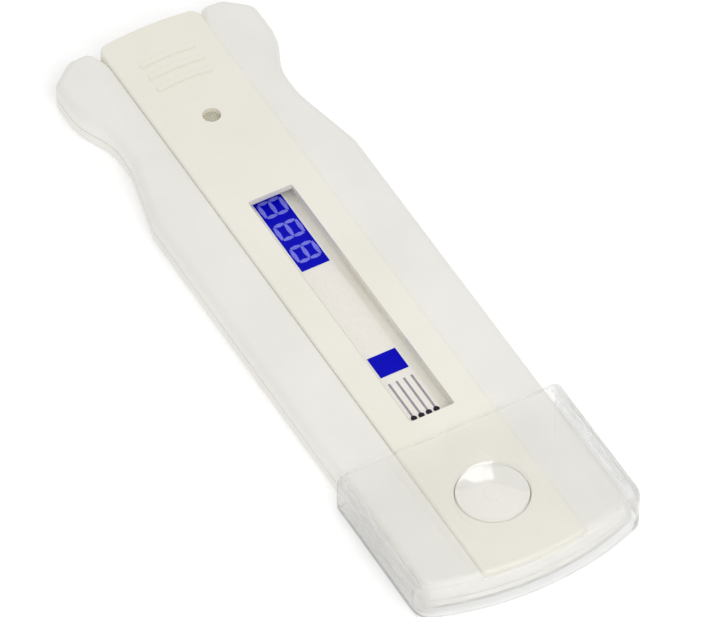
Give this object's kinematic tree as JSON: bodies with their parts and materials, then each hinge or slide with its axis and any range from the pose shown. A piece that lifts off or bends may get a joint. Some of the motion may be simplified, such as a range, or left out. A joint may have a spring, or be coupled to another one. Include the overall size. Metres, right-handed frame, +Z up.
{
  "type": "microchip scanner",
  "caption": "Slim hand-held pocket microchip scanner with a raised centre cover, a long recessed readout, a waisted grip and a clear slip-on end cap over a domed scan button.",
  "frame": {"origin": "middle of the object's footprint, on the underside that it rests on", "axes": "+Z up out of the readout face, +Y towards the grip end, -Y towards the clear-capped reading head"},
  "size_m": [0.0496, 0.16, 0.0116],
  "materials": {
    "shell_abs": "satin",
    "cover_abs": "satin",
    "clear_cap": "gloss",
    "button_abs": "satin",
    "tray_abs": "satin",
    "strip_card": "satin",
    "blue_print": "satin",
    "pale_print": "satin",
    "grey_print": "satin",
    "circuit_board": "satin",
    "chip_epoxy": "satin",
    "ceramic": "satin",
    "bobbin_nylon": "satin",
    "copper_wire": "satin",
    "cell_steel": "satin",
    "contact_brass": "satin",
    "screw_steel": "satin",
    "flex_film": "satin",
    "foam": "matte",
    "screen_mesh": "satin"
  },
  "bodies": {
    "case": {"lower_shell": "shell_abs", "upper_shell": "shell_abs", "spine_cover": "cover_abs", "switch_body": "screw_steel", "switch_board": "circuit_board", "switch_flex": "flex_film", "main_board": "circuit_board", "controller_chip": "chip_epoxy", "reader_chip": "chip_epoxy", "crystal": "cell_steel", "regulator": "chip_epoxy", "capacitors": "ceramic", "display_tray": "tray_abs", "display_connector": "foam", "display_strip": "strip_card", "readout_panel": "blue_print", "readout_digits": "pale_print", "status_square": "blue_print", "strip_traces": "grey_print", "strip_pads": "grey_print", "aerial_bobbin": "bobbin_nylon", "aerial_coil": "copper_wire", "aerial_leads": "copper_wire", "coin_cell_near": "cell_steel", "coin_cell_far": "cell_steel", "negative_contact": "contact_brass", "positive_contact": "contact_brass", "sound_screen": "screen_mesh", "beeper_seal": "foam", "beeper_disc": "contact_brass", "case_screws": "screw_steel"},
    "end_cap": {"end_cap": "clear_cap"},
    "scan_button": {"scan_button": "button_abs"},
    "switch_plunger": {"switch_plunger": "button_abs"},
    "battery_door": {"battery_door": "shell_abs", "bridge_contact": "contact_brass"}
  },
  "joints": [
    {"name": "end_cap_slide", "type": "slide", "parent": "case", "child": "end_cap", "axis": [0, -1, 0], "range_m": [0, 0.045]},
    {"name": "scan_button_press", "type": "slide", "parent": "case", "child": "scan_button", "axis": [0, 0, -1], "range_m": [0, 0.0006], "stiffness_N_per_m": 1000, "springref_m": -0.0004},
    {"name": "switch_plunger_press", "type": "slide", "parent": "case", "child": "switch_plunger", "axis": [0, 0, -1], "range_m": [0, 0.0006]},
    {"name": "battery_door_slide", "type": "slide", "parent": "case", "child": "battery_door", "axis": [0, 1, 0], "range_m": [0, 0.05]}
  ],
  "couplings": [
    {"joint": "switch_plunger_press", "follows": "scan_button_press", "ratio": 1}
  ]
}
